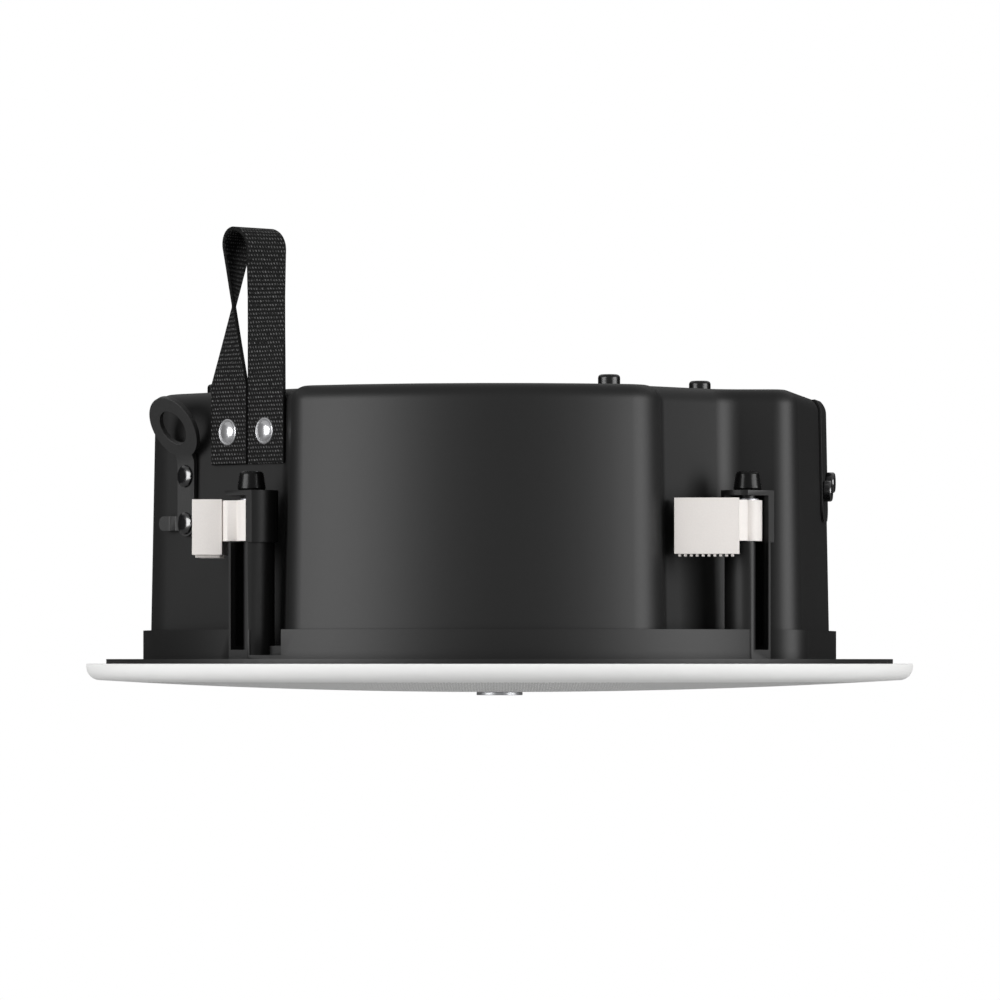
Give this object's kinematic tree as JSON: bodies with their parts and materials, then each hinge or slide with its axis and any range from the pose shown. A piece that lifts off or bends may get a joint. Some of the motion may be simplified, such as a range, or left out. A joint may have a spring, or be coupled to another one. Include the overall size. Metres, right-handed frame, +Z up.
{
  "type": "in ceiling speaker",
  "caption": "Round in-ceiling loudspeaker with a white domed grille, a black back can, swing-out clamps, a webbing carry strap and a safety wire eye.",
  "frame": {"origin": "centre of the ceiling cut-out in the plane of the flange's ceiling side", "axes": "+Z up into the ceiling, away from the room; -Y faces the camera of the picture and +X is the picture's right"},
  "size_m": [0.26, 0.26, 0.1439],
  "materials": {
    "frame_plastic": "fine matte texture",
    "can_plastic": "fine matte texture",
    "clamp_plastic": "satin",
    "cap_plastic": "gloss",
    "dog_plastic": "matte",
    "nut_steel": "zinc plated",
    "grille_steel": "white powder coat",
    "cloth": "open weave",
    "badge_metal": "satin",
    "magnet_nickel": "nickel plated",
    "basket_steel": "black paint",
    "foam": "closed-cell foam",
    "black_screw": "black oxide",
    "ferrite": "ground ferrite",
    "plate_steel": "zinc plated",
    "cone_paper": "matte",
    "former_foil": "foil",
    "copper": "enamelled copper wire",
    "surround_rubber": "smooth",
    "spider_cloth": "resin-treated cloth",
    "tweeter_plastic": "satin",
    "dome_silk": "coated silk",
    "board": "solder mask",
    "nylon": "natural nylon",
    "capacitor_film": "tape wrapped",
    "ceramic": "ceramic",
    "terminal_plastic": "satin",
    "bracket_steel": "textured black powder coat",
    "button_steel": "gloss black",
    "webbing": "woven polyester",
    "rivet_metal": "bright nickel",
    "bumper_rubber": "matte",
    "wadding": "polyester wadding"
  },
  "bodies": {
    "speaker": {"front_frame": "frame_plastic", "back_can": "can_plastic", "can_gasket": "foam", "grille": "grille_steel", "grille_cloth": "cloth", "grille_badge": "badge_metal", "grille_magnets": "magnet_nickel", "clamp_heads": "clamp_plastic", "clamp_caps": "cap_plastic", "woofer_basket": "basket_steel", "woofer_gasket": "foam", "woofer_screws": "black_screw", "magnet_top_plate": "plate_steel", "magnet_ring": "ferrite", "magnet_back_plate": "plate_steel", "woofer_surround": "surround_rubber", "woofer_spider": "spider_cloth", "tweeter_post": "plate_steel", "tweeter_housing": "tweeter_plastic", "tweeter_magnet": "magnet_nickel", "tweeter_dome": "dome_silk", "crossover_board": "board", "crossover_standoffs": "nylon", "crossover_coil": "copper", "crossover_capacitors": "capacitor_film", "crossover_resistor": "ceramic", "terminal_block": "terminal_plastic", "terminal_cover": "can_plastic", "terminal_cover_screws": "button_steel", "safety_bracket": "bracket_steel", "safety_bracket_screws": "button_steel", "carry_strap": "webbing", "strap_rivets": "rivet_metal", "top_bumpers": "bumper_rubber", "can_screws": "black_screw", "acoustic_lining": "wadding"},
    "cone": {"voice_coil_former": "former_foil", "voice_coil_winding": "copper", "woofer_cone": "cone_paper"},
    "dog_1": {"clamp_dog_1": "dog_plastic", "clamp_nut_1": "nut_steel"},
    "screw_1": {"clamp_screw_1": "black_screw"},
    "dog_2": {"clamp_dog_2": "dog_plastic", "clamp_nut_2": "nut_steel"},
    "screw_2": {"clamp_screw_2": "black_screw"},
    "dog_3": {"clamp_dog_3": "dog_plastic", "clamp_nut_3": "nut_steel"},
    "screw_3": {"clamp_screw_3": "black_screw"},
    "dog_4": {"clamp_dog_4": "dog_plastic", "clamp_nut_4": "nut_steel"},
    "screw_4": {"clamp_screw_4": "black_screw"}
  },
  "joints": [
    {"name": "clamp_swing_1", "type": "hinge", "parent": "speaker", "child": "dog_1", "pos_m": [-0.07531, -0.07531, 0.042], "axis": [0, 0, 1], "range_deg": [0, 48]},
    {"name": "clamp_turn_1", "type": "hinge", "parent": "speaker", "child": "screw_1", "pos_m": [-0.07531, -0.07531, 0.042], "axis": [0, 0, 1], "continuous": true},
    {"name": "clamp_swing_2", "type": "hinge", "parent": "speaker", "child": "dog_2", "pos_m": [0.07531, -0.07531, 0.042], "axis": [0, 0, 1], "range_deg": [0, 48]},
    {"name": "clamp_turn_2", "type": "hinge", "parent": "speaker", "child": "screw_2", "pos_m": [0.07531, -0.07531, 0.042], "axis": [0, 0, 1], "continuous": true},
    {"name": "clamp_swing_3", "type": "hinge", "parent": "speaker", "child": "dog_3", "pos_m": [0.07531, 0.07531, 0.042], "axis": [0, 0, 1], "range_deg": [0, 48]},
    {"name": "clamp_turn_3", "type": "hinge", "parent": "speaker", "child": "screw_3", "pos_m": [0.07531, 0.07531, 0.042], "axis": [0, 0, 1], "continuous": true},
    {"name": "clamp_swing_4", "type": "hinge", "parent": "speaker", "child": "dog_4", "pos_m": [-0.07531, 0.07531, 0.042], "axis": [0, 0, 1], "range_deg": [0, 48]},
    {"name": "clamp_turn_4", "type": "hinge", "parent": "speaker", "child": "screw_4", "pos_m": [-0.07531, 0.07531, 0.042], "axis": [0, 0, 1], "continuous": true},
    {"name": "cone_travel", "type": "slide", "parent": "speaker", "child": "cone", "axis": [0, 0, 1], "range_m": [-0.0025, 0.0025], "stiffness_N_per_m": 1500, "deforming": ["woofer_surround", "woofer_spider"]}
  ]
}
